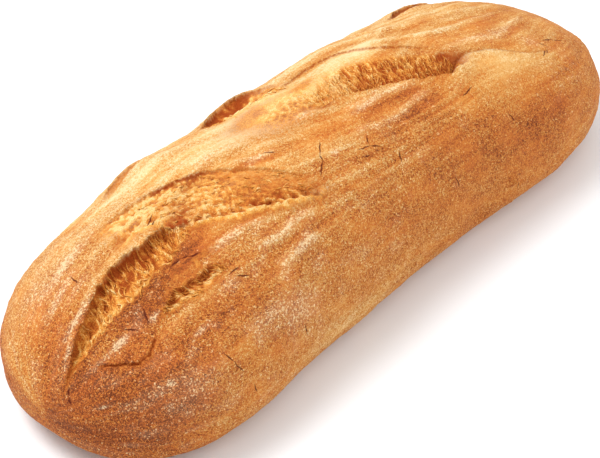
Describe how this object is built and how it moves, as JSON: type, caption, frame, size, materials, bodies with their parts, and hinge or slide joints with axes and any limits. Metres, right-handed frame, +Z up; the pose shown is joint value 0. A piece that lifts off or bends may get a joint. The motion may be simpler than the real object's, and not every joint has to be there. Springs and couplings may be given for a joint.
{
  "type": "bread loaf",
  "caption": "Long rustic wheat loaf with blunt rounded ends, slanting cuts that opened in baking into torn hollows with raised lips, and a flat base to rest on.",
  "frame": {"origin": "centre of the loaf's box, on the flat base", "axes": "+X along the loaf towards its narrower end, -Y towards the side that the picture shows, +Z up"},
  "size_m": [0.35, 0.1186, 0.0783],
  "materials": {
    "crust": "matt golden brown baked crust with a light dusting of flour"
  },
  "bodies": {
    "root": {"loaf": "crust"}
  },
  "joints": []
}
